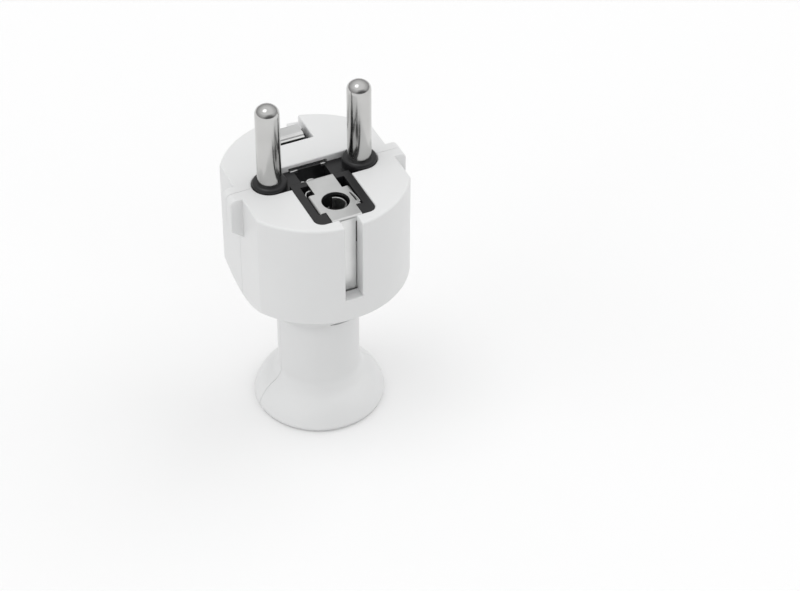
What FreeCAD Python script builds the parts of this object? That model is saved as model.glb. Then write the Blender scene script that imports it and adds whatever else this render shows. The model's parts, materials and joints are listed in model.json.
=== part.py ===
import FreeCAD
import Part
import Sketcher
import math
import os

# Rewirable plug with two round pins, a female earth contact in its face and an earth strip on
# each side. It stands on its flared cord end with the pins up. X runs along the pins, the female
# earth contact is on the -Y side, and the two half shells part at Y = 0. Millimetres and degrees.

SIZES = {
    # outer form of the housing
    "body_length": 23.2,
    "body_radius": 18.7,
    "flat_margin": 6.6,
    "shoulder_height": 34.4,
    "face_round": 0.5,
    "neck_radius": 8.4,
    "shoulder_cove": 6.0,
    "flare_start": 9.3,
    "flare_cove": 4.2,
    "flare_turn": 55.0,
    "flare_round": 8.5,
    "lip_round": 0.9,
    "lug_reach": 2.5,
    "lug_half_width": 2.2,
    "lug_length": 7.6,
    "lug_slope": 2.0,
    "lug_round": 1.3,
    "edge_round": 0.3,
    # inside of the housing
    "wall": 2.0,
    "face_wall": 2.6,
    "seam_gap": 0.08,
    "mouth_round": 4.0,
    "cable_bore": 4.6,
    "cable_bore_length": 3.0,
    "throat_radius": 5.6,
    "jaw_seat_radius": 6.4,
    "jaw_seat_drop": 2.8,
    "jaw_seat_length": 7.6,
    "rib_half_width": 3.2,
    "rib_wall": 1.2,
    "rib_foot": 1.0,
    "ledge_depth": 1.4,
    "ledge_height": 2.5,
    "ledge_half_length": 4.0,
    "boss_depth": 3.9,
    "boss_half_length": 5.0,
    "boss_height": 3.8,
    "boss_gap": 1.3,
    "peg_radius": 1.2,
    "peg_length": 1.5,
    "peg_clearance": 0.05,
    # grooves for the side earth strips
    "groove_half_width": 1.8,
    "groove_length": 18.1,
    "strip_inset": 2.9,
    "strip_half_width": 1.6,
    "strip_tuck": 1.2,
    "tuck_gap": 0.25,
    "sheet": 0.7,
    "strip_clearance": 0.05,
    # opening in the face and the pin carrier that fills it
    "opening_radius": 3.55,
    "leg_half_width": 6.3,
    "leg_corner": 1.8,
    "carrier_clearance": 0.08,
    "carrier_depth": 6.5,
    "bar_drop": 1.4,
    "frame_drop": 0.25,
    "collar_rise": 0.8,
    "collar_round": 0.7,
    "flange_reach": 0.75,
    "window_half_width": 3.2,
    "window_front": 2.2,
    "window_rear": 3.3,
    "window_lip": 0.7,
    "lip_half_width": 2.4,
    "frame_bridge": 1.3,
    "pocket_depth": 5.0,
    "well_gap": 0.15,
    "well_wall": 0.85,
    "well_depth": 16.5,
    "well_floor": 1.0,
    "barrier_offset": 4.6,
    "barrier_wall": 0.8,
    "barrier_front": 5.0,
    "barrier_rear": 8.0,
    "barrier_depth": 17.0,
    # pins
    "pin_pitch": 19.0,
    "pin_radius": 2.4,
    "pin_length": 18.6,
    "pin_shoulder_round": 1.7,
    "pin_dome_turn": 45.0,
    "pin_root_radius": 2.0,
    "spigot_radius": 1.7,
    "spigot_length": 4.0,
    # female earth contact plate
    "hole_margin": 0.3,
    "plate_drop": 0.2,
    "tab_half_width": 2.85,
    "tab_reach": 0.5,
    "plate_half_width": 4.4,
    "plate_rear_reach": 3.4,
    "plate_front_reach": 2.5,
    "nose_half_width": 3.1,
    "fold_depth": 1.4,
    "wing_rear_reach": 2.8,
    "wing_front_reach": 2.0,
    "wing_depth": 3.4,
    "bend_round": 0.6,
    "spring_radius": 2.45,
    "spring_wall": 0.35,
    "spring_clearance": 0.05,
    "spring_length": 6.5,
    "spring_split": 0.6,
    "spring_slot_length": 4.0,
    # rear earth strip
    "rear_slot_margin": 0.4,
    "rear_skin": 0.8,
    "rear_plate_half_width": 3.7,
    "rear_plate_drop": 1.5,
    "clip_half_width": 2.9,
    "clip_drop": 0.1,
    "clip_length": 3.5,
    "notch_half_width": 4.15,
    "notch_margin": 2.0,
    "notch_rim_drop": 1.9,
    # terminals
    "terminal_width": 6.0,
    "terminal_thickness": 7.0,
    "terminal_height": 10.0,
    "wire_hole": 1.6,
    "wire_hole_depth": 5.5,
    "terminal_screw_rise": 3.0,
    "earth_block_half_width": 3.0,
    "earth_block_gap": 1.0,
    "fit_gap": 0.1,
    # screws and nut, all M3
    "thread_radius": 1.5,
    "screw_hole": 1.6,
    "head_radius": 2.3,
    "head_height": 1.8,
    "slot_width": 0.6,
    "slot_depth": 0.9,
    "head_edge": 0.3,
    "thread_tip": 0.5,
    "terminal_screw_length": 4.0,
    "joint_screw_length": 6.5,
    "housing_screw_drop": 4.6,
    "housing_head_radius": 2.7,
    "counterbore": 2.95,
    "head_seat": 6.2,
    "housing_screw_length": 12.0,
    "pillar_radius": 4.2,
    "nut_width": 5.5,
    "nut_height": 2.4,
    "nut_clearance": 0.05,
    # cord clamp jaws
    "jaw_clearance": 0.1,
    "jaw_gap": 0.8,
    "jaw_tip": 4.0,
    "jaw_tooth": 0.6,
}

CLEAR = 30.0        # reach of a cut that runs out of the part
OVERCUT = 2.0       # how far a cut starts outside the face that it opens
OVERLAP = 0.5       # how far a pad or cut runs into what it joins
JAW_TEETH = 3

doc = FreeCAD.newDocument("plug")
sheet = doc.addObject("Spreadsheet::Sheet", "Sizes")
for row, (alias, number) in enumerate(SIZES.items(), start=1):
    sheet.set("A%d" % row, alias.replace("_", " "))
    sheet.set("B%d" % row, str(number))
    sheet.setAlias("B%d" % row, alias)
doc.recompute()


class Size:
    """A length that knows its number and the sheet expression that gives it."""

    def __init__(self, number, text):
        self.number = float(number)
        self.text = text

    def __add__(self, other):
        other = size(other)
        return Size(self.number + other.number, "(%s + %s)" % (self.text, other.text))

    def __sub__(self, other):
        other = size(other)
        return Size(self.number - other.number, "(%s - %s)" % (self.text, other.text))

    def __mul__(self, other):
        other = size(other)
        return Size(self.number * other.number, "(%s * %s)" % (self.text, other.text))

    def __truediv__(self, other):
        other = size(other)
        return Size(self.number / other.number, "(%s / %s)" % (self.text, other.text))

    def __neg__(self):
        return Size(-self.number, "(-1 * %s)" % self.text)

    def __radd__(self, other):
        return size(other) + self

    def __rsub__(self, other):
        return size(other) - self

    def __rmul__(self, other):
        return size(other) * self


def size(value):
    return value if isinstance(value, Size) else Size(value, repr(float(value)))


def cell(alias):
    """The size that a cell of the sheet holds."""
    return Size(sheet.get(alias), "Sizes.%s" % alias)


def cosine(angle):
    angle = size(angle)
    return Size(math.cos(math.radians(angle.number)), "cos(%s)" % angle.text)


def sine(angle):
    angle = size(angle)
    return Size(math.sin(math.radians(angle.number)), "sin(%s)" % angle.text)


def root(value):
    value = size(value)
    return Size(math.sqrt(value.number), "sqrt(%s)" % value.text)


def bind(item, path, value):
    item.setExpression(path, size(value).text)


# Sketch outlines

def arc_centre(start, end, radius, turn):
    """Centre of the arc from start to end that bends left (turn 1) or right (turn -1)."""
    dx = end[0] - start[0]
    dy = end[1] - start[1]
    chord = math.hypot(dx, dy)
    rise = math.sqrt(max(radius ** 2 - chord ** 2 / 4, 0.0))
    return ((start[0] + end[0]) / 2 - turn * rise * dy / chord,
            (start[1] + end[1]) / 2 + turn * rise * dx / chord)


def hold(sketch, kind, names, value, *where):
    """One driving constraint of a sketch, bound to the sheet."""
    value = size(value)
    index = sketch.addConstraint(Sketcher.Constraint(kind, *where, value.number))
    name = "%s_%d" % (names, index)
    sketch.renameConstraint(index, name)
    bind(sketch, "Constraints." + name, value)


def draw(sketch, corners):
    """A closed outline. A corner is (x, y), or (x, y, radius, turn) where an arc leads to it."""
    count = len(corners)
    pieces = []
    for index in range(count):
        start = corners[index - 1]
        end = corners[index]
        a = (size(start[0]).number, size(start[1]).number)
        b = (size(end[0]).number, size(end[1]).number)
        if len(end) == 2:
            line = Part.LineSegment(FreeCAD.Vector(*a, 0), FreeCAD.Vector(*b, 0))
            pieces.append((sketch.addGeometry(line, False), 1, 2))
            continue
        radius = size(end[2]).number
        turn = end[3]
        centre = arc_centre(a, b, radius, turn)
        angle_a = math.atan2(a[1] - centre[1], a[0] - centre[0])
        angle_b = math.atan2(b[1] - centre[1], b[0] - centre[0])
        low, high = (angle_a, angle_b) if turn > 0 else (angle_b, angle_a)
        while high < low:
            high += 2 * math.pi
        circle = Part.Circle(FreeCAD.Vector(*centre, 0), FreeCAD.Vector(0, 0, 1), radius)
        ends = (1, 2) if turn > 0 else (2, 1)
        pieces.append((sketch.addGeometry(Part.ArcOfCircle(circle, low, high), False), *ends))
    for index in range(count):
        piece, first, last = pieces[index]
        following = pieces[(index + 1) % count]
        sketch.addConstraint(Sketcher.Constraint("Coincident", piece, last, following[0], following[1]))
        hold(sketch, "DistanceX", "x", corners[index][0], -1, 1, piece, last)
        hold(sketch, "DistanceY", "y", corners[index][1], -1, 1, piece, last)
        if len(corners[index]) == 4:
            hold(sketch, "Radius", "r", corners[index][2], piece)


def draw_circle(sketch, x, y, radius):
    centre = FreeCAD.Vector(size(x).number, size(y).number, 0)
    circle = Part.Circle(centre, FreeCAD.Vector(0, 0, 1), size(radius).number)
    index = sketch.addGeometry(circle, False)
    hold(sketch, "DistanceX", "x", x, -1, 1, index, 3)
    hold(sketch, "DistanceY", "y", y, -1, 1, index, 3)
    hold(sketch, "Radius", "r", radius, index)


def rectangle(x0, x1, y0, y1):
    return [(x0, y0), (x1, y0), (x1, y1), (x0, y1)]


def hexagon(width):
    """Corners of a hexagon across flats, one corner on the x axis."""
    reach = width / math.sqrt(3)
    return [(reach * cosine(60.0 * step), reach * sine(60.0 * step)) for step in range(6)]


# Free-standing solids, for the housing and its cuts

PLANES = {
    "plan": FreeCAD.Rotation(0, 0, 0, 1),
    "side": FreeCAD.Rotation(FreeCAD.Vector(1, 0, 0), 90),
}
TO_FRONT = FreeCAD.Rotation(FreeCAD.Vector(1, 0, 0), 90)
TO_REAR = FreeCAD.Rotation(FreeCAD.Vector(1, 0, 0), -90)
UPRIGHT = FreeCAD.Rotation(0, 0, 0, 1)


def free_sketch(name, plane, outlines, height=0.0):
    sketch = doc.addObject("Sketcher::SketchObject", name)
    sketch.Placement = FreeCAD.Placement(FreeCAD.Vector(0, 0, size(height).number), PLANES[plane])
    bind(sketch, "Placement.Base.z", height)
    for outline in outlines:
        draw(sketch, outline)
    return sketch


def extrude(name, sketch, forward, backward=0.0):
    solid = doc.addObject("Part::Extrusion", name)
    solid.Base = sketch
    solid.DirMode = "Normal"
    solid.Solid = True
    bind(solid, "LengthFwd", forward)
    bind(solid, "LengthRev", backward)
    return solid


def revolve(name, sketch):
    solid = doc.addObject("Part::Revolution", name)
    solid.Source = sketch
    solid.Axis = FreeCAD.Vector(0, 0, 1)
    solid.Base = FreeCAD.Vector(0, 0, 0)
    solid.Angle = 360
    solid.Solid = True
    return solid


def place(item, x, y, z, rotation=UPRIGHT):
    item.Placement = FreeCAD.Placement(FreeCAD.Vector(0, 0, 0), rotation)
    bind(item, "Placement.Base.x", x)
    bind(item, "Placement.Base.y", y)
    bind(item, "Placement.Base.z", z)


def block(name, x0, x1, y0, y1, z0, z1):
    solid = doc.addObject("Part::Box", name)
    bind(solid, "Length", size(x1) - x0)
    bind(solid, "Width", size(y1) - y0)
    bind(solid, "Height", size(z1) - z0)
    place(solid, x0, y0, z0)
    return solid


def rod(name, radius, length, x, y, z, rotation=UPRIGHT):
    solid = doc.addObject("Part::Cylinder", name)
    bind(solid, "Radius", radius)
    bind(solid, "Height", length)
    place(solid, x, y, z, rotation)
    return solid


def join(name, solids):
    fused = doc.addObject("Part::MultiFuse", name)
    fused.Shapes = solids
    return fused


def meet(name, first, second):
    common = doc.addObject("Part::Common", name)
    common.Base = first
    common.Tool = second
    return common


def cut(name, solid, tool):
    rest = doc.addObject("Part::Cut", name)
    rest.Base = solid
    rest.Tool = tool
    return rest


# Bodies built from pads, pockets and revolutions

class Piece:
    """A body with its own sketches. Heights are measured on the body's own axis."""

    def __init__(self, label):
        self.body = doc.addObject("PartDesign::Body", label)
        self.body.Label = label
        self.count = 0

    def sketch(self, role, outlines=(), circles=(), offset=0.0):
        self.count += 1
        sketch = self.body.newObject("Sketcher::SketchObject", "%s_sketch_%d" % (self.body.Label, self.count))
        plane = [item for item in self.body.Origin.OriginFeatures if item.Role == role][0]
        sketch.AttachmentSupport = [(plane, "")]
        sketch.MapMode = "FlatFace"
        bind(sketch, "AttachmentOffset.Base.z", offset)
        for outline in outlines:
            draw(sketch, outline)
        for circle in circles:
            draw_circle(sketch, *circle)
        return sketch

    def feature(self, kind, name, sketch):
        feature = self.body.newObject("PartDesign::" + kind, "%s_%s" % (self.body.Label, name))
        feature.Profile = sketch
        return feature

    def pad(self, name, low, high, outlines=(), circles=()):
        sketch = self.sketch("XY_Plane", outlines, circles, low)
        pad = self.feature("Pad", name, sketch)
        bind(pad, "Length", size(high) - low)

    def pocket(self, name, low, high, outlines=(), circles=()):
        """Cuts from low up to high."""
        sketch = self.sketch("XY_Plane", outlines, circles, low)
        pocket = self.feature("Pocket", name, sketch)
        pocket.Reversed = True
        bind(pocket, "Length", size(high) - low)
        self.check_cut(pocket)

    def side_pocket(self, name, outlines, circles, forward, backward):
        """Cuts along Y, from forward on the -Y side to backward on the +Y side."""
        sketch = self.sketch("XZ_Plane", outlines, circles, forward)
        pocket = self.feature("Pocket", name, sketch)
        pocket.Reversed = False
        bind(pocket, "Length", size(forward) + backward)
        self.check_cut(pocket)

    def turned(self, name, outline, angle=360.0, reverse=False):
        sketch = self.sketch("XZ_Plane", [outline])
        turned = self.feature("Revolution", name, sketch)
        turned.ReferenceAxis = (sketch, ["V_Axis"])
        turned.Angle = angle
        turned.Reversed = reverse

    def rounded(self, name, radius, at):
        """Rounds the edges whose middle passes the test."""
        doc.recompute()
        tip = self.body.Tip
        edges = []
        for index, edge in enumerate(tip.Shape.Edges, start=1):
            middle = edge.valueAt((edge.FirstParameter + edge.LastParameter) / 2)
            if at(middle):
                edges.append("Edge%d" % index)
        fillet = self.body.newObject("PartDesign::Fillet", "%s_%s" % (self.body.Label, name))
        fillet.Base = (tip, edges)
        bind(fillet, "Radius", radius)

    def check_cut(self, feature):
        doc.recompute()
        if feature.BaseFeature.Shape.Volume - feature.Shape.Volume < 1e-4:
            raise ValueError("%s cuts nothing" % feature.Label)


def near(value, target):
    return abs(value - size(target).number) < 1e-3


# Places that several pieces share

shoulder = cell("shoulder_height")
face = shoulder + cell("body_length")
body_radius = cell("body_radius")
wall = cell("wall")
half_gap = cell("seam_gap") / 2
fit_gap = cell("fit_gap")
pin_place = cell("pin_pitch") / 2
flat = pin_place + cell("flat_margin")
hollow_side = flat - wall
hollow_rise = shoulder - body_radius + wall * math.sqrt(2.0)
sheet_metal = cell("sheet")
strip_face = body_radius - cell("strip_inset")
strip_back = strip_face - sheet_metal
groove_back = strip_back - cell("strip_clearance")
groove_end = face - cell("groove_length")
strip_end = groove_end - cell("strip_tuck")
carrier_bottom = face - cell("carrier_depth")
collar_top = face + cell("collar_rise")
plate_top = face - cell("plate_drop")
plate_bottom = plate_top - sheet_metal
fold_bottom = face - cell("fold_depth")
cavity_top = face - cell("face_wall")
sleeve_radius = cell("spring_radius") + cell("spring_wall")
well_radius = sleeve_radius + cell("spring_clearance")
well_outside = well_radius + cell("well_wall")
earth_place = -(groove_back - cell("rib_wall") - cell("well_gap") - well_outside)
window_front = -cell("window_front")
tab_back = window_front + cell("tab_reach")
tab_front = earth_place + cell("plate_rear_reach")
plate_front = earth_place - cell("plate_front_reach")
rear_leg = cell("window_rear") - fit_gap
rear_plate_top = face - cell("rear_plate_drop")
clip_top = face - cell("clip_drop")
clip_front = strip_face - cell("clip_length")
notch_front = clip_front - cell("notch_margin")
rear_foot_top = carrier_bottom
rear_foot_bottom = rear_foot_top - sheet_metal
front_foot_bottom = rear_foot_bottom - sheet_metal
joint_place = (tab_back + rear_leg) / 2
screw_height = shoulder - cell("housing_screw_drop")
terminal_bottom = carrier_bottom - cell("terminal_height")
terminal_screw_height = terminal_bottom + cell("terminal_screw_rise")
earth_block_bottom = screw_height + cell("pillar_radius") + cell("earth_block_gap")
earth_screw_height = earth_block_bottom + cell("terminal_screw_rise")
boss_start = terminal_bottom - cell("boss_gap") - cell("boss_height")
jaw_end = cell("throat_radius") + hollow_rise - cell("jaw_seat_drop")
jaw_start = jaw_end - cell("jaw_seat_length")


def mirrored(outline):
    """The same outline on the other side of the vertical axis."""
    corners = [(-size(corner[0]), corner[1]) for corner in outline]
    arcs = [corner[2:] for corner in outline]
    count = len(corners)
    turned = []
    for index in range(count - 1, -1, -1):
        led_by = arcs[(index + 1) % count]
        turned.append(corners[index] + tuple(led_by))
    return turned


def t_outline(radius, leg_half, leg_end, corner):
    """Bar with round ends at the pins, and a leg towards the front."""
    inner = leg_half - corner
    bend = leg_end + corner
    return [
        (pin_place, -radius),
        (pin_place + radius, 0.0, radius, 1),
        (pin_place, radius, radius, 1),
        (-pin_place, radius),
        (-pin_place - radius, 0.0, radius, 1),
        (-pin_place, -radius, radius, 1),
        (-leg_half, -radius),
        (-leg_half, bend),
        (-inner, leg_end, corner, 1),
        (inner, leg_end),
        (leg_half, bend, corner, 1),
        (leg_half, -radius),
    ]


def stadium(radius):
    return [
        (pin_place, -radius),
        (pin_place + radius, 0.0, radius, 1),
        (pin_place, radius, radius, 1),
        (-pin_place, radius),
        (-pin_place - radius, 0.0, radius, 1),
        (-pin_place, -radius, radius, 1),
    ]


# Housing: outer form

def housing_form():
    neck = cell("neck_radius")
    cove = cell("shoulder_cove")
    cove_run = cove * math.tan(math.radians(22.5))
    cove_rise = cove * math.sin(math.radians(45.0))
    cove_step = cove - cove_rise
    neck_corner = shoulder - (body_radius - neck)

    # The flare leaves the neck in a hollow curve and rolls over to the lip in a round one.
    turn = cell("flare_turn")
    hollow = cell("flare_cove")
    bulge = cell("flare_round")
    lip = cell("lip_round")
    flare_radius = neck + hollow * (1 - cosine(turn))
    flare_height = cell("flare_start") - hollow * sine(turn)
    bulge_x = flare_radius - bulge * cosine(turn)
    bulge_z = flare_height - bulge * sine(turn)
    lip_sine = (lip - bulge_z) / (bulge - lip)
    lip_cosine = root(1 - lip_sine * lip_sine)
    lip_centre = bulge_x + (bulge - lip) * lip_cosine
    round_edge = cell("face_round")
    profile = [
        (0.0, 0.0),
        (lip_centre, 0.0),
        (lip_centre + lip * lip_cosine, lip + lip * lip_sine, lip, 1),
        (flare_radius, flare_height, bulge, 1),
        (neck, cell("flare_start"), hollow, -1),
        (neck, neck_corner - cove_run),
        (neck + cove_step, neck_corner - cove_run + cove_rise, cove, -1),
        (body_radius, shoulder),
        (body_radius, face - round_edge),
        (body_radius - round_edge, face, round_edge, 1),
        (0.0, face),
    ]
    round_form = revolve("round_form", free_sketch("form_profile", "side", [profile]))
    sides = block("flat_sides", -flat, flat, -CLEAR, CLEAR, -OVERCUT, face + OVERCUT)
    body = meet("body_form", round_form, sides)

    # A short lug on each flat is flush with the face, rounded above and sloped below.
    reach = flat + cell("lug_reach")
    corner = cell("lug_round")
    bottom = face - cell("lug_length")
    lug = [
        (flat - wall / 2, bottom - cell("lug_slope")),
        (flat, bottom - cell("lug_slope")),
        (reach, bottom),
        (reach, face - corner),
        (reach - corner, face, corner, 1),
        (flat - wall / 2, face),
    ]
    half = cell("lug_half_width")
    lugs = extrude("lugs", free_sketch("lug_outline", "side", [lug, mirrored(lug)]), half, half)
    return join("housing_form", [body, lugs])


def housing_cavity():
    """The hollow from the cord mouth up to the inside of the face."""
    mouth = cell("mouth_round")
    bore = cell("cable_bore")
    throat = cell("throat_radius")
    seat = cell("jaw_seat_radius")
    inner = body_radius - wall
    bore_end = mouth + cell("cable_bore_length")
    profile = [
        (0.0, -OVERCUT),
        (bore + mouth, -OVERCUT),
        (bore + mouth, 0.0),
        (bore, mouth, mouth, -1),
        (bore, bore_end),
        (throat, bore_end),
        (throat, jaw_start),
        (seat, jaw_start),
        (seat, jaw_end),
        (throat, jaw_end),
        (throat, throat + hollow_rise),
        (inner, inner + hollow_rise),
        (inner, cavity_top),
        (0.0, cavity_top),
    ]
    round_hollow = revolve("round_hollow", free_sketch("hollow_profile", "side", [profile]))
    sides = block("hollow_sides", -hollow_side, hollow_side, -CLEAR, CLEAR, -2 * OVERCUT, face)
    return meet("housing_cavity", round_hollow, sides)


def span(side, near_end, far_end):
    """Low and high place of a stretch on one side (-1 or 1) of the middle, along X or Y."""
    if side > 0:
        return size(near_end), size(far_end)
    return -size(far_end), -size(near_end)


def shell_inner_parts(name, side):
    """What stands inside a half shell: strip rib, screw pillar, carrier ledges and bosses."""
    rib = cell("rib_half_width")
    rib_top = cavity_top + OVERLAP if side > 0 else carrier_bottom
    rib_end = strip_end - cell("tuck_gap") - cell("rib_foot")
    y0, y1 = span(side, groove_back - cell("rib_wall"), body_radius - wall / 2)
    solids = [block(name + "_rib", -rib, rib, y0, y1, rib_end, rib_top)]
    y0, y1 = span(side, strip_face, body_radius - wall / 2)
    solids.append(block(name + "_groove_wall", -rib, rib, y0, y1, rib_end, cavity_top + OVERLAP))
    rotation = TO_REAR if side > 0 else TO_FRONT
    solids.append(rod(name + "_pillar", cell("pillar_radius"), body_radius, 0.0, side * half_gap,
                      screw_height, rotation))
    y0, y1 = span(side, half_gap, cell("ledge_half_length"))
    b0, b1 = span(side, half_gap, cell("boss_half_length"))
    for hand, mark in ((-1, "left"), (1, "right")):
        low = hollow_side - cell("ledge_depth")
        high = hollow_side + wall / 2
        x0, x1 = span(hand, low, high)
        solids.append(block("%s_ledge_%s" % (name, mark), x0, x1, y0, y1,
                            carrier_bottom - cell("ledge_height"), carrier_bottom))
        x0, x1 = span(hand, hollow_side - cell("boss_depth"), high)
        solids.append(block("%s_boss_%s" % (name, mark), x0, x1, b0, b1, boss_start,
                            boss_start + cell("boss_height")))
    return solids


def peg_place(hand):
    return (hollow_side - cell("boss_depth") / 2) * hand, boss_start + cell("boss_height") / 2


def strip_groove(name, side):
    """Cuts of the groove for an earth strip, and of the slit that its end goes into."""
    half = cell("groove_half_width")
    gap = cell("tuck_gap")
    y0, y1 = span(side, groove_back, CLEAR)
    groove = block(name + "_groove", -half, half, y0, y1, groove_end, face + OVERCUT)
    y0, y1 = span(side, groove_back, strip_face + gap)
    slit = block(name + "_slit", -half, half, y0, y1, strip_end - gap, groove_end + OVERLAP)
    return [groove, slit]


def face_opening(name):
    outline = t_outline(cell("opening_radius"), cell("leg_half_width"), -strip_face, cell("leg_corner"))
    low = carrier_bottom - fit_gap
    return extrude(name + "_opening", free_sketch(name + "_opening_outline", "plan", [outline], low),
                   face + OVERCUT - low)


def outer_edge(edge):
    """Whether an edge of a half shell is one of those that the mould leaves soft."""
    box = edge.BoundBox
    middle = edge.valueAt((edge.FirstParameter + edge.LastParameter) / 2)
    x, y = abs(middle.x), abs(middle.y)
    reach = flat + cell("lug_reach")
    half = cell("lug_half_width")
    if near(box.ZMin, face) and near(box.ZMax, face):
        rim = body_radius - cell("face_round") - cell("edge_round")
        opening = math.hypot(x, y) < rim.number and x < flat.number - 0.01 and y > 2 * half_gap.number
        flat_rim = near(x, flat) and y > half.number + 0.01
        if opening or flat_rim:
            return True
    groove = near(x, cell("groove_half_width")) and math.hypot(x, y) > (strip_face + sheet_metal).number
    upright = box.XLength < 1e-3 and box.YLength < 1e-3 and box.ZLength > 1.0
    lug_side = near(y, half) and box.YLength < 1e-3 and x > flat.number + 0.01
    lug_end = near(x, reach) and box.XLength < 1e-3 and box.ZLength < 1e-3
    return groove and upright or lug_side or lug_end


def soften(label, shell):
    """Rounds the outer edges of a half shell."""
    doc.recompute()
    radius = cell("edge_round").number
    fillet = doc.addObject("Part::Fillet", label)
    fillet.Base = shell
    fillet.Edges = [(index, radius, radius) for index, edge in enumerate(shell.Shape.Edges, start=1)
                    if outer_edge(edge)]
    return fillet


def half_shell(name, side, form, cavity, extra_cuts, pegs):
    """One half of the housing, cut at the seam and hollowed."""
    y0, y1 = span(side, half_gap, CLEAR)
    space = block(name + "_space", -CLEAR, CLEAR, y0, y1, -OVERCUT, face + CLEAR)
    half = meet(name + "_half", form, space)
    hollow = cut(name + "_hollow", cavity, join(name + "_inner_parts", shell_inner_parts(name, side)))
    tools = [hollow, face_opening(name)] + strip_groove(name, side) + extra_cuts
    shell = cut(name + "_shell", half, join(name + "_cuts", tools))
    if pegs:
        shell = join(name + "_shell_and_pegs", [shell] + pegs)
    return soften(name + "_housing", shell)


def front_housing(form, cavity):
    """Front half shell: it takes the screw head in its shoulder and carries the pegs."""
    seat = cell("head_seat")
    cuts = [
        rod("head_recess", cell("counterbore"), CLEAR, 0.0, -seat, screw_height, TO_FRONT),
        rod("front_screw_hole", cell("screw_hole"), seat + OVERCUT, 0.0, OVERCUT, screw_height, TO_FRONT),
    ]
    pegs = []
    for hand, mark in ((-1, "left"), (1, "right")):
        x, z = peg_place(hand)
        length = cell("peg_length")
        pegs.append(rod("peg_" + mark, cell("peg_radius"), length + wall, x, length, z, TO_FRONT))
    return half_shell("front", -1, form, cavity, cuts, pegs)


def rear_housing(form, cavity):
    """Rear half shell: it holds the nut, the peg holes and the notch of the rear earth clip."""
    nut_depth = half_gap + cell("nut_height") + fit_gap
    nut_outline = hexagon(cell("nut_width") + 2 * cell("nut_clearance"))
    nut_sketch = free_sketch("nut_pocket_outline", "side", [nut_outline], screw_height)
    slot = cell("rear_plate_half_width") + cell("rear_slot_margin")
    notch = cell("notch_half_width")
    rim = strip_face + fit_gap
    screw_end = cell("housing_screw_length") - cell("head_seat") + 2 * fit_gap
    cuts = [
        extrude("nut_pocket", nut_sketch, OVERCUT, nut_depth),
        rod("rear_screw_hole", cell("screw_hole"), screw_end + OVERCUT, 0.0, -OVERCUT, screw_height,
            TO_REAR),
        block("strip_slot", -slot, slot, cell("opening_radius") - OVERLAP, notch_front + OVERLAP,
              cavity_top - OVERLAP, face - cell("rear_skin")),
        block("clip_notch", -notch, notch, notch_front, rim, cavity_top - OVERLAP, face + OVERCUT),
        block("rim_notch", -notch, notch, rim - OVERLAP, CLEAR, face - cell("notch_rim_drop"),
              face + OVERCUT),
    ]
    for hand, mark in ((-1, "left"), (1, "right")):
        x, z = peg_place(hand)
        radius = cell("peg_radius") + cell("peg_clearance")
        depth = cell("peg_length") + 2 * fit_gap
        cuts.append(rod("peg_hole_" + mark, radius, depth + OVERCUT, x, -OVERCUT, z, TO_REAR))
    return half_shell("rear", 1, form, cavity, cuts, [])


# Pin carrier

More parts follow.
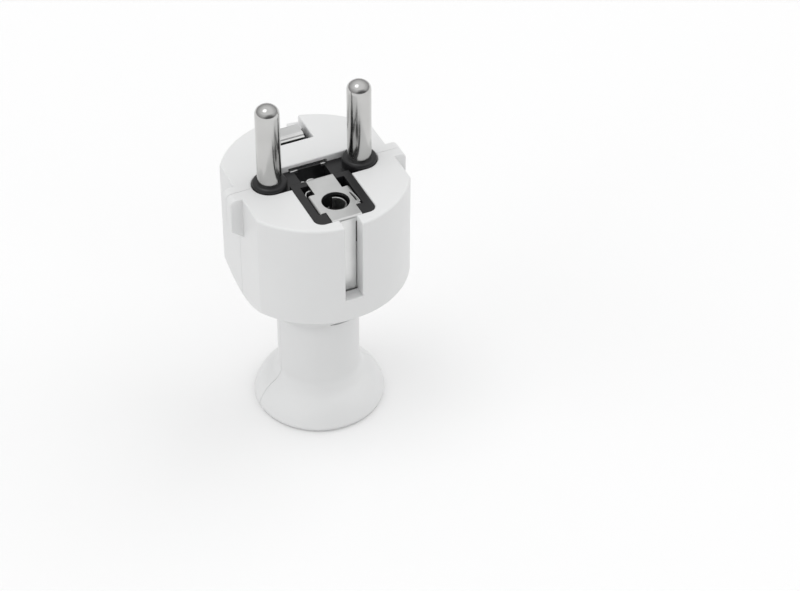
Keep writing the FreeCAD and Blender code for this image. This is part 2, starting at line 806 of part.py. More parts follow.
def pin_carrier():
    """Black moulding that fills the opening: pin bar with collars, earth frame and well."""
    piece = Piece("pin_carrier")
    gap = cell("carrier_clearance")
    radius = cell("opening_radius") - gap
    leg = cell("leg_half_width") - gap
    leg_end = -(strip_face - gap)
    corner = cell("leg_corner")
    bar_top = face - cell("bar_drop")
    frame_top = face - cell("frame_drop")
    window = cell("window_half_width")
    tab = cell("tab_half_width") + fit_gap
    pocket_floor = face - cell("pocket_depth")
    pocket = cell("plate_half_width") + 2 * fit_gap
    pocket_front = plate_front - fit_gap
    pocket_rear = window_front - cell("frame_bridge")
    piece.pad("bar", carrier_bottom, bar_top, [t_outline(radius, leg, leg_end, corner)])
    piece.pad("flange", carrier_bottom, cavity_top,
              [stadium(cell("opening_radius") + cell("flange_reach"))])
    inner = leg - corner
    frame = [
        (leg, window_front),
        (-leg, window_front),
        (-leg, leg_end + corner),
        (-inner, leg_end, corner, 1),
        (inner, leg_end),
        (leg, leg_end + corner, corner, 1),
    ]
    piece.pad("frame", bar_top - OVERLAP, frame_top, [frame])
    piece.pad("collars", bar_top - OVERLAP, collar_top,
              circles=[(-pin_place, 0.0, radius), (pin_place, 0.0, radius)])
    piece.rounded("collar_edge", cell("collar_round"),
                  lambda point: near(point.z, collar_top))
    barrier = cell("barrier_offset")
    thick = cell("barrier_wall")
    right = rectangle(barrier, barrier + thick, -cell("barrier_front"), cell("barrier_rear"))
    left = rectangle(-barrier - thick, -barrier, -cell("barrier_front"), cell("barrier_rear"))
    piece.pad("barriers", face - cell("barrier_depth"), carrier_bottom + OVERLAP, [right, left])
    piece.pad("well", face - cell("well_depth") - cell("well_floor"), carrier_bottom + OVERLAP,
              circles=[(0.0, earth_place, well_outside)])
    piece.pocket("well_bore", face - cell("well_depth"), face + OVERCUT,
                 circles=[(0.0, earth_place, well_radius)])
    piece.pocket("pocket", pocket_floor, face + OVERCUT,
                 [rectangle(-pocket, pocket, pocket_front, pocket_rear)])
    below = carrier_bottom - OVERCUT
    head_room = rear_foot_top + cell("head_height") + 2 * fit_gap
    window_rear = cell("window_rear")
    piece.pocket("window", below, face + OVERCUT,
                 [rectangle(-window, window, window_front, window_rear - cell("window_lip"))])
    piece.pocket("screw_room", below, head_room,
                 [rectangle(-window, window, window_front, window_rear)])
    rear_half = cell("rear_plate_half_width") + 2 * fit_gap
    piece.pocket("rear_gap", below, face + OVERCUT,
                 [rectangle(-rear_half, rear_half, rear_leg - fit_gap, CLEAR)])
    piece.pocket("leg_gap", below, face + OVERCUT,
                 [rectangle(-tab, tab, tab_back - sheet_metal - fit_gap, tab_back + OVERLAP)])
    piece.pocket("tab_gap", pocket_floor, face + OVERCUT,
                 [rectangle(-tab, tab, pocket_rear - OVERLAP, window_front + OVERLAP)])
    nose = cell("nose_half_width") + cell("strip_clearance")
    piece.pocket("nose_seat", plate_bottom, face + OVERCUT,
                 [rectangle(-nose, nose, -CLEAR, pocket_front + OVERLAP)])
    piece.pocket("fold_seat", fold_bottom - fit_gap, face + OVERCUT,
                 [rectangle(-nose, nose, -CLEAR, -groove_back)])
    strip = cell("strip_half_width") + fit_gap
    piece.pocket("strip_seat", below, face + OVERCUT,
                 [rectangle(-strip, strip, -CLEAR, -groove_back)])
    root_radius = cell("pin_root_radius")
    piece.pocket("pin_holes", below, face + OVERCUT,
                 circles=[(-pin_place, 0.0, root_radius), (pin_place, 0.0, root_radius)])
    lip = cell("lip_half_width")
    piece.pad("raised_lip", bar_top - OVERLAP, face - cell("rear_skin") - fit_gap,
              [rectangle(-lip, lip, window_rear - cell("window_lip"), rear_leg - fit_gap)])
    return piece.body


# Pins and their terminals

def pin(label, hand):
    """Round pin that rests on its collar, with a root in the carrier and a spigot below."""
    piece = Piece(label)
    radius = cell("pin_radius")
    root_radius = cell("pin_root_radius")
    spigot = cell("spigot_radius")
    top = face + cell("pin_length")
    low = carrier_bottom - cell("spigot_length")

    # The domed end is a round shoulder that runs on into a flatter cap.
    turn = cell("pin_dome_turn")
    bend = cell("pin_shoulder_round")
    cap_edge = radius - bend + bend * cosine(turn)
    cap = cap_edge / cosine(turn)
    shank_end = top - cap + (cap - bend) * sine(turn)
    piece.turned("shank", [
        (0.0, low),
        (spigot, low),
        (spigot, carrier_bottom),
        (root_radius, carrier_bottom),
        (root_radius, collar_top),
        (radius, collar_top),
        (radius, shank_end),
        (cap_edge, shank_end + bend * sine(turn), bend, 1),
        (0.0, top, cap, 1),
    ])
    place(piece.body, hand * pin_place, 0.0, 0.0)
    return piece.body


def pin_terminal(label, hand):
    """Brass block pressed on the pin's spigot, with a wire hole below and a clamp screw hole."""
    piece = Piece(label)
    wide = cell("terminal_width") / 2
    thick = cell("terminal_thickness") / 2
    piece.pad("block", terminal_bottom, carrier_bottom, [rectangle(-wide, wide, -thick, thick)])
    piece.pocket("spigot_bore", carrier_bottom - cell("spigot_length"), carrier_bottom + OVERCUT,
                 circles=[(0.0, 0.0, cell("spigot_radius"))])
    piece.pocket("wire_hole", terminal_bottom - OVERCUT, terminal_bottom + cell("wire_hole_depth"),
                 circles=[(0.0, 0.0, cell("wire_hole"))])
    depth = cell("terminal_screw_length") - thick
    piece.side_pocket("screw_hole", [], [(0.0, terminal_screw_height, cell("thread_radius"))],
                      depth, thick + OVERCUT)
    place(piece.body, hand * pin_place, 0.0, 0.0)
    return piece.body


def slotted_screw(label, head, length, x, y, z, rotation):
    """Cheese-head screw. Its origin is under the head, and the shank runs down its axis."""
    piece = Piece(label)
    thread = cell("thread_radius")
    height = cell("head_height")
    edge = cell("head_edge")
    tip = cell("thread_tip")
    piece.turned("turned", [
        (0.0, -length),
        (thread - tip, -length),
        (thread, tip - length),
        (thread, 0.0),
        (head, 0.0),
        (head, height - edge),
        (head - edge, height),
        (0.0, height),
    ])
    slot = cell("slot_width") / 2
    piece.pocket("slot", height - cell("slot_depth"), height + OVERCUT,
                 [rectangle(-CLEAR, CLEAR, -slot, slot)])
    place(piece.body, x, y, z, rotation)
    return piece.body


def housing_nut():
    piece = Piece("housing_nut")
    piece.pad("hexagon", 0.0, cell("nut_height"), [hexagon(cell("nut_width"))])
    piece.pocket("bore", -OVERCUT, cell("nut_height") + OVERCUT,
                 circles=[(0.0, 0.0, cell("thread_radius"))])
    place(piece.body, 0.0, half_gap + fit_gap / 2, screw_height, TO_REAR)
    return piece.body


# Earth contacts

def earth_plate():
    """Stamped contact: plate with the pin hole, wings, a leg with a foot and the front strip."""
    piece = Piece("earth_plate")
    tab = cell("tab_half_width")
    wide = cell("plate_half_width")
    nose = cell("nose_half_width")
    strip = cell("strip_half_width")
    piece.pad("face", plate_bottom, plate_top, [[
        (-tab, tab_back),
        (-tab, tab_front),
        (-wide, tab_front),
        (-wide, plate_front),
        (-nose, plate_front),
        (-nose, -strip_face),
        (nose, -strip_face),
        (nose, plate_front),
        (wide, plate_front),
        (wide, tab_front),
        (tab, tab_front),
        (tab, tab_back),
    ]])
    piece.pad("fold", fold_bottom, plate_top - sheet_metal / 2,
              [rectangle(-nose, nose, -strip_face, -strip_back)])
    piece.pad("strip", strip_end, plate_top - sheet_metal / 2,
              [rectangle(-strip, strip, -strip_face, -strip_back)])
    piece.pad("leg", front_foot_bottom, plate_top - sheet_metal / 2,
              [rectangle(-tab, tab, tab_back - sheet_metal, tab_back)])
    piece.pad("foot", front_foot_bottom, rear_foot_bottom,
              [rectangle(-tab, tab, tab_back - sheet_metal, rear_leg - fit_gap)])
    wing_inner = wide - sheet_metal
    start = earth_place - cell("wing_front_reach")
    end = earth_place + cell("wing_rear_reach")
    piece.pad("wings", face - cell("wing_depth"), plate_top - sheet_metal / 2,
              [rectangle(wing_inner, wide, start, end), rectangle(-wide, -wing_inner, start, end)])
    piece.pocket("pin_hole", plate_bottom - OVERLAP, plate_top + OVERLAP,
                 circles=[(0.0, earth_place, cell("spring_radius") + cell("hole_margin"))])
    piece.pocket("screw_hole", front_foot_bottom - OVERLAP, rear_foot_bottom + OVERLAP,
                 circles=[(0.0, joint_place, cell("screw_hole"))])
    piece.rounded("bends", cell("bend_round"), lambda point: near(point.z, plate_top) and (
        near(point.y, -strip_face) or near(point.y, tab_back) or near(abs(point.x), wide)))
    return piece.body


def earth_pin_spring():
    """Split sleeve under the plate that grips the earth pin of a socket."""
    piece = Piece("earth_pin_spring")
    low = plate_bottom - cell("spring_length")
    piece.pad("sleeve", low, plate_bottom,
              circles=[(0.0, earth_place, sleeve_radius), (0.0, earth_place, cell("spring_radius"))])
    split = cell("spring_split") / 2
    reach = 2 * sleeve_radius
    piece.pocket("split", low - OVERCUT, plate_bottom + OVERCUT,
                 [rectangle(-split, split, earth_place, earth_place + reach)])
    piece.pocket("cross_slot", low - OVERCUT, low + cell("spring_slot_length"),
                 [rectangle(-reach, reach, earth_place - split, earth_place + split)])
    return piece.body


def rear_earth_strip():
    """Stamped contact: foot and leg in the window, plate under the face, clip and side strip."""
    piece = Piece("rear_earth_strip")
    clip = cell("clip_half_width")
    plate = cell("rear_plate_half_width")
    strip = cell("strip_half_width")
    clip_bottom = clip_top - sheet_metal
    leg_back = rear_leg + sheet_metal
    rear_plate_bottom = rear_plate_top - sheet_metal
    riser_back = clip_front + sheet_metal
    piece.pad("plate", rear_plate_bottom, rear_plate_top,
              [rectangle(-plate, plate, rear_leg, riser_back)])
    piece.pad("leg", rear_foot_bottom, rear_plate_top - sheet_metal / 2,
              [rectangle(-clip, clip, rear_leg, leg_back)])
    piece.pad("foot", rear_foot_bottom, rear_foot_top,
              [rectangle(-clip, clip, tab_back + fit_gap, leg_back)])
    piece.pad("riser", rear_plate_bottom, clip_top, [rectangle(-clip, clip, clip_front, riser_back)])
    piece.pad("clip", clip_bottom, clip_top, [rectangle(-clip, clip, clip_front, strip_face)])
    piece.pad("bend", face - cell("notch_rim_drop"), clip_top,
              [rectangle(-clip, clip, strip_back, strip_face)])
    piece.pad("strip", strip_end, clip_bottom, [rectangle(-strip, strip, strip_back, strip_face)])
    piece.pocket("screw_hole", rear_foot_bottom - OVERLAP, rear_foot_top + OVERLAP,
                 circles=[(0.0, joint_place, cell("screw_hole"))])
    piece.rounded("bends", cell("bend_round"), lambda point: (
        near(point.z, clip_top) and (near(point.y, clip_front) or near(point.y, strip_face))
        or near(point.z, rear_plate_top) and near(point.y, rear_leg)))
    return piece.body


def earth_terminal():
    """Brass block under the two feet, with the wire hole below and two screw holes."""
    piece = Piece("earth_terminal")
    half = cell("earth_block_half_width")
    low = earth_block_bottom
    piece.pad("block", low, front_foot_bottom, [rectangle(-half, half, tab_back, rear_leg)])
    reach = cell("joint_screw_length") - 2 * sheet_metal
    piece.pocket("joint_hole", front_foot_bottom - reach, front_foot_bottom + OVERCUT,
                 circles=[(0.0, joint_place, cell("thread_radius"))])
    piece.pocket("wire_hole", low - OVERCUT, low + cell("wire_hole_depth"),
                 circles=[(0.0, joint_place, cell("wire_hole"))])
    depth = cell("terminal_screw_length") - rear_leg
    piece.side_pocket("screw_hole", [], [(0.0, earth_screw_height, cell("thread_radius"))],
                      depth, rear_leg + OVERCUT)
    return piece.body


# Cord clamp jaws

def cord_jaw(label, side):
    """Half ring with inner teeth. The two jaws squeeze the cord when the shells close."""
    piece = Piece(label)
    gap = cell("jaw_clearance")
    outer = cell("jaw_seat_radius") - gap
    tip = cell("jaw_tip")
    tooth = cell("jaw_tooth")
    low = jaw_start + gap
    high = jaw_end - gap
    pitch = (high - low) / JAW_TEETH
    inside = [(tip + tooth, high)]
    for step in range(JAW_TEETH):
        inside.append((tip, high - pitch * (step + 0.5)))
        inside.append((tip + tooth, high - pitch * (step + 1.0)))
    piece.turned("half_ring", [(outer, low), (outer, high)] + inside, 180.0, side < 0)
    slab = rectangle(-CLEAR, CLEAR, low - OVERCUT, high + OVERCUT)
    piece.side_pocket("parting", [slab], [], cell("jaw_gap") / 2, cell("jaw_gap") / 2)
    return piece.body


form = housing_form()
cavity = housing_cavity()
subparts = [
    front_housing(form, cavity),
    rear_housing(form, cavity),
    pin_carrier(),
    pin("line_pin", -1),
    pin("neutral_pin", 1),
    pin_terminal("line_terminal", -1),
    pin_terminal("neutral_terminal", 1),
    earth_plate(),
    earth_pin_spring(),
    rear_earth_strip(),
    earth_terminal(),
    housing_nut(),
    cord_jaw("front_cord_jaw", -1),
    cord_jaw("rear_cord_jaw", 1),
]
terminal_face = cell("terminal_thickness") / 2
small_head = cell("head_radius")
terminal_screw = cell("terminal_screw_length")
subparts += [
    slotted_screw("line_terminal_screw", small_head, terminal_screw,
                  -pin_place, terminal_face, terminal_screw_height, TO_REAR),
    slotted_screw("neutral_terminal_screw", small_head, terminal_screw,
                  pin_place, terminal_face, terminal_screw_height, TO_REAR),
    slotted_screw("earth_terminal_screw", small_head, terminal_screw,
                  0.0, rear_leg, earth_screw_height, TO_REAR),
    slotted_screw("earth_joint_screw", small_head, cell("joint_screw_length"),
                  0.0, joint_place, rear_foot_top, UPRIGHT),
    slotted_screw("housing_screw", cell("housing_head_radius"), cell("housing_screw_length"),
                  0.0, -cell("head_seat"), screw_height, TO_FRONT),
]

doc.recompute()
for item in doc.Objects:
    if "Invalid" in item.State or "Error" in item.State:
        raise ValueError("%s: %s" % (item.Label, item.State))
for item in subparts:
    if item.Shape.isNull() or not item.Shape.isValid():
        raise ValueError("%s has no valid shape" % item.Label)
    if len(item.Shape.Solids) != 1:
        raise ValueError("%s has %d solids" % (item.Label, len(item.Shape.Solids)))

os.makedirs("parts", exist_ok=True)
for item in subparts:
    item.Shape.exportStep("parts/%s.step" % item.Label)
    print(item.Label, round(item.Shape.Volume, 2))
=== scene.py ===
"""The looks of a rewirable two-pin power plug that stands on its flared cord end, pins up."""
import json
import math

import bmesh
import bpy
from mathutils import Matrix, Vector


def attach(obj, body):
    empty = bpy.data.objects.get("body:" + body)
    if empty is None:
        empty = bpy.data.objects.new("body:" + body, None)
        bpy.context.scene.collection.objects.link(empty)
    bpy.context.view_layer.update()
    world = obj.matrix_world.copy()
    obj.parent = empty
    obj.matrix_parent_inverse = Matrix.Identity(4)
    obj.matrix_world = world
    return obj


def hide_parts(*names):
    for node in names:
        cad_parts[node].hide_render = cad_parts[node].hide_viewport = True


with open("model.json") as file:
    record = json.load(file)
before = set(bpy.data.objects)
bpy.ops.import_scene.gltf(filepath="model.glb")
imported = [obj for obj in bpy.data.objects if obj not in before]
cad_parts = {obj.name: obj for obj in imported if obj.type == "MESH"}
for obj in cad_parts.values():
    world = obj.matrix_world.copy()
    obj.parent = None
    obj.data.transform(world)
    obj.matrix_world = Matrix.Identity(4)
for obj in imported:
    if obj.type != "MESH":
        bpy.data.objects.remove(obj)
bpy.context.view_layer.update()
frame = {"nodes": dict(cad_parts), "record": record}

MM = 0.001
UP = Vector((0, 0, 1))


def mount_at(name):
    """Where the record puts a mount, in millimetres."""
    mount = next(mount for mount in frame["record"]["mounts"] if mount["name"] == name)
    return [distance / MM for distance in mount["pos_m"]]


# The view of the photograph, solved from the pins and the rim of the face.
PHOTO_WIDTH = 800
SENSOR = 36.0
FOCAL_PIXELS = 2401.8
CAMERA_AT = Vector((-142.136, -339.456, 344.781)) * MM
CAMERA_YAW = -25.3224
CAMERA_DOWN = 40.9555
CAMERA_ROLL = 0.4048
CAMERA_NEAREST = 10 * MM

# The table: half its width in metres, the tone that it throws on the plug, and the tone that is seen.
FLOOR_HALF = 3.0
FLOOR_BOUNCE = (0.64, 0.64, 0.64)
FLOOR_SHOWN = (0.94, 0.94, 0.94)

# The light: an even tent, and far lamps as (name, side, power, spread in degrees, seen in reflections).
TENT_LIGHT = 0.75
LAMPS = (
    ("above", (-0.25, 0.1, 1.0), 0.27, 24, True),
    ("right", (0.67, 0.0, 0.74), 0.57, 60, False),
    ("left", (-0.94, 0.0, 0.34), 0.555, 60, False),
    ("front", (0.0, -0.94, 0.34), 0.27, 60, False),
)

# What shiny surfaces mirror besides the lamp above: a grey room with a bright ceiling and a dark front.
# The ranges are of the mirrored direction: its share upwards for the ceiling, backwards for the front.
ROOM_TONE = (0.8, 0.8, 0.8)
WALL_GLOW = 0.5
CEILING_GLOW = 1.1
CEILING_RANGE = (0.2, 0.85)
FRONT_SHARE = 0.25
FRONT_RANGE = (-0.85, -0.6)

# Noise stays in this range nearly everywhere, so tones and gloss are spread over it.
NOISE_RANGE = (0.3, 0.7)

# Features per metre.
PLASTIC_CLOUDS = 90
PLASTIC_GRAIN = 5200
PLASTIC_SMEARS = 240
METAL_CLOUDS = 160
METAL_MARKS = 1000

# How strongly plastic bends light, the soft edge of metal in metres, and the samples of soft edges.
PLASTIC_IOR = 1.5
METAL_EDGE = 0.0001
BEVEL_SAMPLES = 6

# Plastics as (darkest tone, lightest tone, roughness, depth of the grain, soft edge), in metres.
PLASTICS = {
    "white_plastic": ((0.768, 0.773, 0.773), (0.782, 0.786, 0.786), (0.34, 0.4), 1e-6, 0.0),
    "black_plastic": ((0.009, 0.009, 0.01), (0.014, 0.014, 0.015), (0.28, 0.42), 8e-6, 0.0002),
    "grey_plastic": ((0.24, 0.25, 0.25), (0.29, 0.3, 0.3), (0.42, 0.55), 6e-6, 0.0002),
}

# Metals as (darkest tone, lightest tone, roughness, stretch of the marks, their depth in metres).
METALS = {
    "nickel": ((0.52, 0.518, 0.51), (0.59, 0.588, 0.58), (0.12, 0.22), (0.15, 0.15, 6.0), 2e-6),
    "sheet_steel": ((0.71, 0.715, 0.71), (0.81, 0.815, 0.81), (0.3, 0.42), (0.5, 5.0, 5.0), 3e-6),
    "brass": ((0.55, 0.38, 0.16), (0.66, 0.47, 0.22), (0.22, 0.36), (1.0, 1.0, 4.0), 3e-6),
    "screw_steel": ((0.46, 0.47, 0.48), (0.58, 0.59, 0.6), (0.22, 0.38), (3.0, 3.0, 3.0), 3e-6),
}

# Edges of the small pieces that turn by more than this, in degrees, stay sharp.
SHARP_ANGLE = 50

# Where the small pieces are, in millimetres: each depth goes down from the contact face.
FACE = mount_at("contact_face")[2]
EARTH_HOLE = mount_at("earth_pin_socket")[:2]

# The sleeve under the earth hole stands a little to its left. Its leaves are (outline, first angle,
# last angle, steps), each outline as (radius, depth): the tall leaf, and the one that is bent low.
SLEEVE_SHIFT = -0.1
SLEEVE_LEAVES = (
    ([(2.16, 7.4), (2.44, 7.4), (2.44, 2.8), (2.36, 1.7), (2.28, 1.1), (2.22, 0.96),
      (2.12, 0.92), (2.03, 0.98), (2.0, 1.12), (2.08, 1.8), (2.16, 2.8)], -105, 83, 36),
    ([(2.16, 7.4), (2.44, 7.4), (2.44, 3.6), (2.4, 3.3), (2.33, 3.15), (2.26, 3.15),
      (2.2, 3.3), (2.16, 3.6)], 97, 241, 28),
)

# A black ring that paints the shade on the wall of the earth hole, as (radius, depth).
HOLE_SHADE_RING = [(2.64, 0.86), (2.74, 0.88), (2.745, 0.3), (2.73, 0.23), (2.68, 0.22), (2.64, 0.3)]

# Burrs round the earth plate, and a black bead that paints the shade along its bent wing, as (piece,
# finish, thickness, path of (x, y, depth)).
BEADS = (
    ("earth_plate_ear", "sheet_steel", 0.3, [
        (-4.58, -6.6, 0.48), (-4.5, -6.0, 0.46), (-4.22, -5.45, 0.44), (-3.8, -5.08, 0.44),
        (-2.95, -4.87, 0.48)]),
    ("earth_wing_edge", "sheet_steel", 0.26, [
        (3.6, -7.4, 0.24), (3.95, -9.0, 0.18), (4.2, -11.6, 0.18), (4.05, -11.93, 0.18),
        (3.3, -11.9, 0.22)]),
    ("earth_tab_burr", "sheet_steel", 0.4, [
        (-2.7, -2.25, 0.26), (-2.25, -2.02, 0.2), (-1.7, -1.98, 0.2), (-1.1, -2.12, 0.26)]),
    ("earth_frame_chip", "sheet_steel", 0.26, [
        (-3.78, -2.05, 0.22), (-3.5, -2.1, 0.18), (-3.1, -2.18, 0.22)]),
    # A black bead that paints the shade along the bent-down wing of the plate.
    ("earth_wing_shade_bead", "black_plastic", 0.3, [
        (3.5, -8.6, 0.22), (3.68, -10.2, 0.2), (3.72, -11.5, 0.2)]),
)

# A bead's sides, and its steps from one point to the next. At the tips it has a share of its thickness,
# which grows at a rate for each length of the bead until it is full.
BEAD_SIDES = 8
BEAD_STEPS = 6
BEAD_TIP = 0.35
BEAD_GROWTH = 5

# The rear window: half the clip's width, its rolled front edge as (y, depth), the right side of the
# black bed that paints the shade in the gap round the clip as (x, y), and the depths of the bed's two
# faces.
CLIP_HALF = 2.86
CLIP_ROLL = [
    (12.5, 0.1), (12.35, 0.13), (12.14, 0.24), (12.02, 0.4), (11.98, 0.5), (11.9, 0.54),
    (11.62, 0.6), (11.56, 0.66), (11.62, 0.74), (12.1, 0.74), (12.24, 0.55), (12.5, 0.4),
]
PAINTED_SHADE_SIDE = [(3.9, 10.36), (3.3, 14.8), (3.05, 14.9), (3.05, 12.24)]
PAINTED_SHADE_DEPTHS = (1.48, 1.32)


def fresh_tree(owner, output_kind):
    """The emptied node tree of a material or a world, and its output."""
    owner.use_nodes = True
    tree = owner.node_tree
    tree.nodes.clear()
    return tree, tree.nodes.new(output_kind)


def new_material(name):
    """An empty node material and its Principled shader."""
    material = bpy.data.materials.new(name)
    tree, output = fresh_tree(material, "ShaderNodeOutputMaterial")
    shader = tree.nodes.new("ShaderNodeBsdfPrincipled")
    tree.links.new(shader.outputs["BSDF"], output.inputs["Surface"])
    return material, tree, shader


def place_coordinates(tree, stretch=(1, 1, 1)):
    """Coordinates in metres in the object's own frame, stretched along each axis."""
    where = tree.nodes.new("ShaderNodeTexCoord")
    mapping = tree.nodes.new("ShaderNodeMapping")
    mapping.inputs["Scale"].default_value = stretch
    tree.links.new(where.outputs["Object"], mapping.inputs["Vector"])
    return mapping.outputs["Vector"]


def noise(tree, vector, scale, detail, roughness=0.5):
    """Noise whose features are about 1/scale metres wide."""
    node = tree.nodes.new("ShaderNodeTexNoise")
    node.inputs["Scale"].default_value = scale
    node.inputs["Detail"].default_value = detail
    node.inputs["Roughness"].default_value = roughness
    tree.links.new(vector, node.inputs["Vector"])
    return node.outputs["Fac"]


def between(tree, factor, low, high, start, end):
    """A number from low to high as the factor goes from start to end."""
    node = tree.nodes.new("ShaderNodeMapRange")
    node.inputs["From Min"].default_value = start
    node.inputs["From Max"].default_value = end
    node.inputs["To Min"].default_value = low
    node.inputs["To Max"].default_value = high
    tree.links.new(factor, node.inputs["Value"])
    return node.outputs["Result"]


def two_tones(tree, factor, dark, light):
    """A colour from dark to light as noise goes through its range."""
    ramp = tree.nodes.new("ShaderNodeValToRGB")
    for element, position, tone in zip(ramp.color_ramp.elements, NOISE_RANGE, (dark, light)):
        element.position = position
        element.color = (*tone, 1)
    tree.links.new(factor, ramp.inputs["Fac"])
    return ramp.outputs["Color"]


def bump(tree, shader, height, depth, edge_radius):
    """Raises the surface by the height in metres and softens sharp edges by a small radius."""
    node = tree.nodes.new("ShaderNodeBump")
    node.inputs["Strength"].default_value = 1.0
    node.inputs["Distance"].default_value = depth
    tree.links.new(height, node.inputs["Height"])
    if edge_radius:
        bevel = tree.nodes.new("ShaderNodeBevel")
        bevel.samples = BEVEL_SAMPLES
        bevel.inputs["Radius"].default_value = edge_radius
        tree.links.new(bevel.outputs["Normal"], node.inputs["Normal"])
    tree.links.new(node.outputs["Normal"], shader.inputs["Normal"])


def moulded_plastic(name, dark, light, rough, grain_depth, edge_radius):
    """Injection-moulded plastic: a faint cloudiness, a fine spark-eroded grain and uneven gloss."""
    material, tree, shader = new_material(name)
    vector = place_coordinates(tree)
    cloud = noise(tree, vector, PLASTIC_CLOUDS, 3)
    grain = noise(tree, vector, PLASTIC_GRAIN, 2)
    smear = noise(tree, vector, PLASTIC_SMEARS, 4, 0.6)
    tree.links.new(two_tones(tree, cloud, dark, light), shader.inputs["Base Color"])
    tree.links.new(between(tree, smear, *rough, *NOISE_RANGE), shader.inputs["Roughness"])
    shader.inputs["IOR"].default_value = PLASTIC_IOR
    bump(tree, shader, grain, grain_depth, edge_radius)
    return material


def bare_metal(name, dark, light, rough, marks, mark_depth):
    """Metal with fine marks: marks is the stretch that makes them rings, lines or specks."""
    material, tree, shader = new_material(name)
    cloud = noise(tree, place_coordinates(tree), METAL_CLOUDS, 3)
    lines = noise(tree, place_coordinates(tree, marks), METAL_MARKS, 3, 0.6)
    tree.links.new(two_tones(tree, cloud, dark, light), shader.inputs["Base Color"])
    tree.links.new(between(tree, lines, *rough, *NOISE_RANGE), shader.inputs["Roughness"])
    shader.inputs["Metallic"].default_value = 1.0
    bump(tree, shader, lines, mark_depth, METAL_EDGE)
    return material


def make_materials():
    """Every finish, by the record's slot names."""
    finishes = {name: moulded_plastic(name, *look) for name, look in PLASTICS.items()}
    finishes.update({name: bare_metal(name, *look) for name, look in METALS.items()})
    return finishes


def dress_nodes(materials):
    """Gives each CAD node the material of its slot in the record."""
    for part in frame["record"]["subparts"]:
        piece = frame["nodes"][part["node"]]
        piece.data.materials.clear()
        piece.data.materials.append(materials[part["material_slot"]])


def built(materials, name, slot, fill, *sizes, stands_for=None):
    """A piece that rides the plug: fill makes its shape from the sizes, and only sharp edges show."""
    shape = bmesh.new()
    fill(shape, *sizes)
    bmesh.ops.recalc_face_normals(shape, faces=shape.faces)
    mesh = bpy.data.meshes.new(name)
    shape.to_mesh(mesh)
    shape.free()
    for face in mesh.polygons:
        face.use_smooth = True
    mesh.set_sharp_from_angle(angle=math.radians(SHARP_ANGLE))
    mesh.materials.append(materials[slot])
    piece = bpy.data.objects.new(name, mesh)
    bpy.context.scene.collection.objects.link(piece)
    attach(piece, "root")
    if stands_for:
        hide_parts(stands_for)


def corner_at(shape, x, y, depth):
    """A new corner of the shape, in millimetres, at a depth under the contact face."""
    return shape.verts.new((x * MM, y * MM, (FACE - depth) * MM))


def joined(shape, rings, goes_round=False):
    """Joins rings of corners by four-sided faces, and closes the ends unless it goes right round."""
    corners = len(rings[0])
    pairs = list(zip(rings, rings[1:]))
    if goes_round:
        pairs.append((rings[-1], rings[0]))
    else:
        shape.faces.new(rings[0][::-1])
        shape.faces.new(rings[-1])
    for near, far in pairs:
        for corner in range(corners):
            after = (corner + 1) % corners
            shape.faces.new((near[corner], near[after], far[after], far[corner]))


def turned(shape, centre, outline, start=0.0, end=360.0, steps=72):
    """Turns an outline of (radius, depth) about an upright axis, from start to end in degrees."""
    full = end - start >= 360.0
    x, y = centre
    rings = []
    for step in range(steps if full else steps + 1):
        angle = math.radians(start + (end - start) * step / steps)
        rings.append([
            corner_at(shape, x + radius * math.cos(angle), y + radius * math.sin(angle), depth)
            for radius, depth in outline])
    joined(shape, rings, full)


def smooth_path(points):
    """A Catmull-Rom curve through the points, with BEAD_STEPS places from each one to the next."""
    places = []
    for index in range(len(points) - 1):
        a = points[max(index - 1, 0)]
        b, c = points[index], points[index + 1]
        d = points[min(index + 2, len(points) - 1)]
        for step in range(BEAD_STEPS):
            t = step / BEAD_STEPS
            places.append(0.5 * (
                2 * b + (c - a) * t
                + (2 * a - 5 * b + 4 * c - d) * t ** 2
                + (3 * b - a - 3 * c + d) * t ** 3))
    return places + [points[-1]]


def bead(shape, path, thickness):
    """A round bead along a smooth path of (x, y, depth), thin at both ends."""
    centres = smooth_path([Vector((x, y, FACE - depth)) for x, y, depth in path])
    last = len(centres) - 1
    turns = [math.tau * corner / BEAD_SIDES for corner in range(BEAD_SIDES)]
    rings = []
    for index, centre in enumerate(centres):
        along = (centres[min(index + 1, last)] - centres[max(index - 1, 0)]).normalized()
        side = along.cross(UP).normalized()
        up = side.cross(along)
        to_tip = min(index, last - index) / last
        radius = thickness / 2 * min(1.0, BEAD_TIP + BEAD_GROWTH * to_tip)
        rings.append([
            shape.verts.new((centre + side * radius * math.cos(turn) + up * radius * math.sin(turn)) * MM)
            for turn in turns])
    joined(shape, rings)


def sleeve(shape):
    """The earth sleeve at rest, with its tall leaf and its low one."""
    centre = (EARTH_HOLE[0] + SLEEVE_SHIFT, EARTH_HOLE[1])
    for outline, start, end, steps in SLEEVE_LEAVES:
        turned(shape, centre, outline, start, end, steps)


def clip_roll(shape):
    """The rolled front edge of the rear clip."""
    joined(shape, [
        [corner_at(shape, side, y, depth) for y, depth in CLIP_ROLL] for side in (-CLIP_HALF, CLIP_HALF)])


def painted_shade_bed(shape):
    """A black bed that paints the shade in the gap round the rear clip."""
    outline = PAINTED_SHADE_SIDE + [(-x, y) for x, y in reversed(PAINTED_SHADE_SIDE)]
    joined(shape, [[corner_at(shape, x, y, depth) for x, y in outline] for depth in PAINTED_SHADE_DEPTHS])


def earth_details(materials):
    """The sleeve of the earth contact, a black ring of painted shade in its hole, and the plate's burrs
    and a black bead of painted shade.
    """
    built(materials, "earth_sleeve", "sheet_steel", sleeve, stands_for="earth_pin_spring")
    # The black ring paints the shade on the wall of the earth hole.
    built(materials, "earth_hole_shade_ring", "black_plastic", turned, EARTH_HOLE, HOLE_SHADE_RING)
    for name, slot, thickness, path in BEADS:
        built(materials, name, slot, bead, path, thickness)


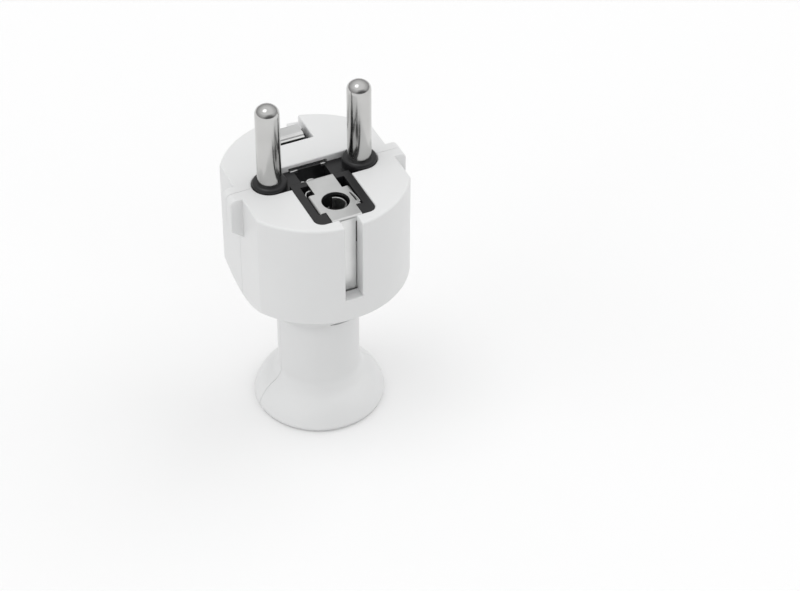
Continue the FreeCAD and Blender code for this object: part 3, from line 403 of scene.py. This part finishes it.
def rear_window_details(materials):
    """The rolled edge of the rear clip and the black bed of painted shade round it."""
    built(materials, "rear_clip_roll", "sheet_steel", clip_roll)
    # The black bed paints the shade in the gap round the clip.
    built(materials, "rear_window_shade_bed", "black_plastic", painted_shade_bed)


def photo_camera():
    """The camera at the place and angle of the photograph."""
    yaw, down, roll = (math.radians(angle) for angle in (CAMERA_YAW, CAMERA_DOWN, CAMERA_ROLL))
    forward = Vector((-math.sin(yaw) * math.cos(down), math.cos(yaw) * math.cos(down), -math.sin(down)))
    level = forward.cross(UP).normalized()
    upright = level.cross(forward)
    right = level * math.cos(roll) + upright * math.sin(roll)
    up = upright * math.cos(roll) - level * math.sin(roll)
    data = bpy.data.cameras.new("photo_camera")
    data.sensor_width = SENSOR
    data.lens = FOCAL_PIXELS * SENSOR / PHOTO_WIDTH
    data.clip_start = CAMERA_NEAREST
    camera = bpy.data.objects.new("photo_camera", data)
    facing = Matrix((right, up, -forward)).transposed().to_4x4()
    camera.matrix_world = Matrix.Translation(CAMERA_AT) @ facing
    bpy.context.scene.collection.objects.link(camera)
    bpy.context.scene.camera = camera


def combined(tree, operation, first, second):
    """Two numbers combined by an operation."""
    node = tree.nodes.new("ShaderNodeMath")
    node.operation = operation
    tree.links.new(first, node.inputs[0])
    tree.links.new(second, node.inputs[1])
    return node.outputs["Value"]


def any_ray(tree, *kinds):
    """1 for a ray of any of these kinds, else 0."""
    path = tree.nodes.new("ShaderNodeLightPath")
    found = path.outputs[kinds[0]]
    for kind in kinds[1:]:
        found = combined(tree, "MAXIMUM", found, path.outputs[kind])
    return found


def shader_by(tree, factor, usual, chosen):
    """The usual shader, or the chosen one where the factor is 1."""
    node = tree.nodes.new("ShaderNodeMixShader")
    tree.links.new(factor, node.inputs["Fac"])
    tree.links.new(usual, node.inputs[1])
    tree.links.new(chosen, node.inputs[2])
    return node.outputs["Shader"]


def matt(tree, tone):
    """A matt surface of one tone."""
    node = tree.nodes.new("ShaderNodeBsdfDiffuse")
    node.inputs["Color"].default_value = (*tone, 1)
    return node.outputs["BSDF"]


def pale_floor():
    """A white table that shows only the soft shadow of the plug."""
    mesh = bpy.data.meshes.new("floor")
    h = FLOOR_HALF
    mesh.from_pydata([(-h, -h, 0), (h, -h, 0), (h, h, 0), (-h, h, 0)], [], [(0, 1, 2, 3)])
    floor = bpy.data.objects.new("floor", mesh)
    bpy.context.scene.collection.objects.link(floor)
    material = bpy.data.materials.new("floor")
    tree, output = fresh_tree(material, "ShaderNodeOutputMaterial")
    seen = any_ray(tree, "Is Camera Ray", "Is Glossy Ray", "Is Transmission Ray")
    surface = shader_by(tree, seen, matt(tree, FLOOR_BOUNCE), matt(tree, FLOOR_SHOWN))
    tree.links.new(surface, output.inputs["Surface"])
    mesh.materials.append(material)


def backdrop(tree, tone=(1, 1, 1)):
    """Surroundings of one tone, at strength 1."""
    node = tree.nodes.new("ShaderNodeBackground")
    node.inputs["Color"].default_value = (*tone, 1)
    return node


def mirrored_room(tree):
    """The room that shiny surfaces mirror, brighter upwards and dark in front."""
    where = tree.nodes.new("ShaderNodeTexCoord")
    direction = tree.nodes.new("ShaderNodeSeparateXYZ")
    tree.links.new(where.outputs["Generated"], direction.inputs["Vector"])
    glow = between(tree, direction.outputs["Z"], WALL_GLOW, CEILING_GLOW, *CEILING_RANGE)
    share = between(tree, direction.outputs["Y"], FRONT_SHARE, 1.0, *FRONT_RANGE)
    room = backdrop(tree, ROOM_TONE)
    tree.links.new(combined(tree, "MULTIPLY", glow, share), room.inputs["Strength"])
    return room.outputs["Background"]


def soft_light(name, side, power, spread, shines):
    """A far studio light from one side."""
    data = bpy.data.lights.new(name, "SUN")
    data.angle = math.radians(spread)
    data.energy = power
    lamp = bpy.data.objects.new(name, data)
    lamp.rotation_euler = Vector(side).to_track_quat("Z", "Y").to_euler()
    lamp.visible_glossy = shines
    bpy.context.scene.collection.objects.link(lamp)


def studio():
    """The tent that lights the plug, the room that it mirrors, the white background and the lamps."""
    world = bpy.data.worlds.new("studio")
    bpy.context.scene.world = world
    tree, output = fresh_tree(world, "ShaderNodeOutputWorld")
    tent = backdrop(tree)
    tent.inputs["Strength"].default_value = TENT_LIGHT
    mirrored = any_ray(tree, "Is Glossy Ray")
    unseen = shader_by(tree, mirrored, tent.outputs["Background"], mirrored_room(tree))
    seen = any_ray(tree, "Is Camera Ray", "Is Transmission Ray")
    surroundings = shader_by(tree, seen, unseen, backdrop(tree).outputs["Background"])
    tree.links.new(surroundings, output.inputs["Surface"])
    for lamp in LAMPS:
        soft_light(*lamp)


bpy.context.scene.view_settings.view_transform = "Standard"
materials = make_materials()
dress_nodes(materials)
earth_details(materials)
rear_window_details(materials)
pale_floor()
photo_camera()
studio()
